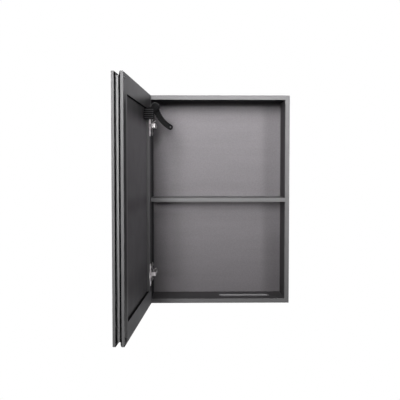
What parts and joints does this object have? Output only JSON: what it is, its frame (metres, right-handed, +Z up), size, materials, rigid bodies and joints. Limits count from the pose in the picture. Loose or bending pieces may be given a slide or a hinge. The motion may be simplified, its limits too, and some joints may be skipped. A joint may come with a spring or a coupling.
{
  "type": "medicine cabinet",
  "caption": "Wall-hung medicine cabinet with a mirror door on concealed hinges, a middle shelf, a tissue slot in the floor and finger grooves round the door.",
  "frame": {"origin": "on the wall plane, at the middle of the rear face of the upper hanging rail, halfway across the cabinet", "axes": "+X to the right seen from the front, +Y into the wall, +Z up; the open front faces -Y"},
  "size_m": [0.489, 0.573, 0.65],
  "materials": {
    "carcass_board": "graphite melamine board, satin",
    "back_board": "graphite foil on fibreboard, fine grain",
    "rail_board": "raw grey board",
    "tongue_ply": "birch plywood",
    "zinc_fitting": "zinc plated",
    "hinge_nickel": "bright nickel plated steel",
    "door_frame": "graphite lacquer, satin",
    "door_cover": "graphite foil, satin",
    "mirror": "silvered float glass",
    "bumper_rubber": "soft grey bumper",
    "guide_black": "black moulded nylon"
  },
  "bodies": {
    "cabinet": {"left_side_panel": "carcass_board", "right_side_panel": "carcass_board", "top_panel": "carcass_board", "bottom_panel": "carcass_board", "shelf": "carcass_board", "back_panel": "back_board", "carcass_tongues": "tongue_ply", "upper_hanging_rail": "rail_board", "lower_hanging_rail": "rail_board", "hanger_plate_left": "zinc_fitting", "hanger_plate_right": "zinc_fitting", "hinge_arm_upper": "hinge_nickel", "hinge_arm_lower": "hinge_nickel", "hinge_plate_upper": "hinge_nickel", "hinge_plate_lower": "hinge_nickel", "hinge_lever_upper": "hinge_nickel", "hinge_lever_lower": "hinge_nickel", "hinge_plate_screws": "hinge_nickel"},
    "door": {"door_free_stile": "door_frame", "door_top_rail": "door_frame", "door_hinge_stile": "door_frame", "door_bottom_rail": "door_frame", "mirror_glass": "mirror", "mirror_backing": "rail_board", "door_rear_cover": "door_cover", "door_bumpers": "bumper_rubber", "hinge_cup_upper": "hinge_nickel", "hinge_cup_lower": "hinge_nickel", "guide_bracket": "guide_black", "guide_pin": "guide_black", "guide_cap": "guide_black"},
    "guide_arm": {"guide_arm": "guide_black"}
  },
  "joints": [
    {"name": "door_hinge", "type": "hinge", "parent": "cabinet", "child": "door", "pos_m": [-0.2165, -0.134, -0.281], "axis": [0, 0, -1], "range_deg": [-93.6, 1.4]},
    {"name": "guide_arm_pivot", "type": "hinge", "parent": "door", "child": "guide_arm", "pos_m": [-0.187, -0.22253, -0.003], "axis": [-0.0628, -0.998, 0], "range_deg": [-10, 15]}
  ]
}
